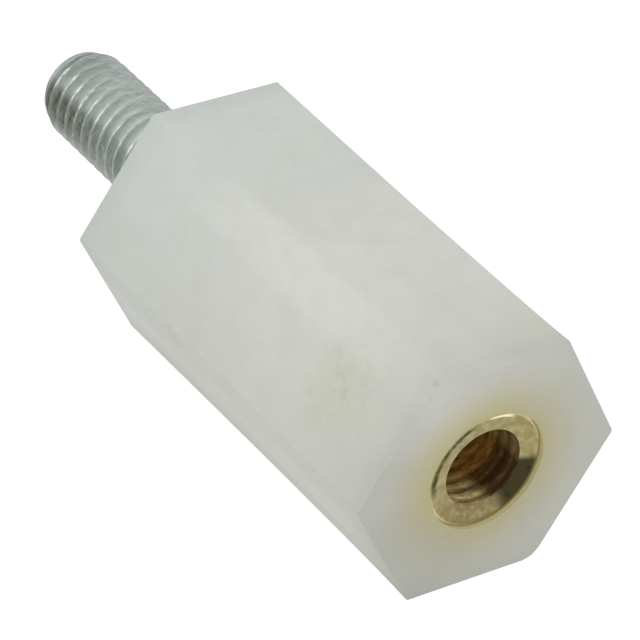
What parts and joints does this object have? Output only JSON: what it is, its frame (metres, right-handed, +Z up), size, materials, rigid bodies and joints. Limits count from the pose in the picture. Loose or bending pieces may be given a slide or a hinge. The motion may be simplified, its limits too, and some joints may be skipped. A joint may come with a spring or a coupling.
{
  "type": "hex standoff",
  "caption": "Hexagonal nylon standoff with a brass threaded socket in one end and a steel threaded stud on the other.",
  "frame": {"origin": "under the middle of the whole length, on the surface that the bottom flat rests on", "axes": "+Z up, off a flat; +Y along the axis from the socket towards the stud; +X across the corners"},
  "size_m": [0.015, 0.0376, 0.013],
  "materials": {
    "nylon": "natural nylon, translucent, satin as moulded",
    "brass": "turned brass",
    "zinc_plated_steel": "zinc-plated, satin"
  },
  "bodies": {
    "root": {"hex_body": "nylon", "socket_insert": "brass", "stud": "zinc_plated_steel"}
  },
  "joints": []
}
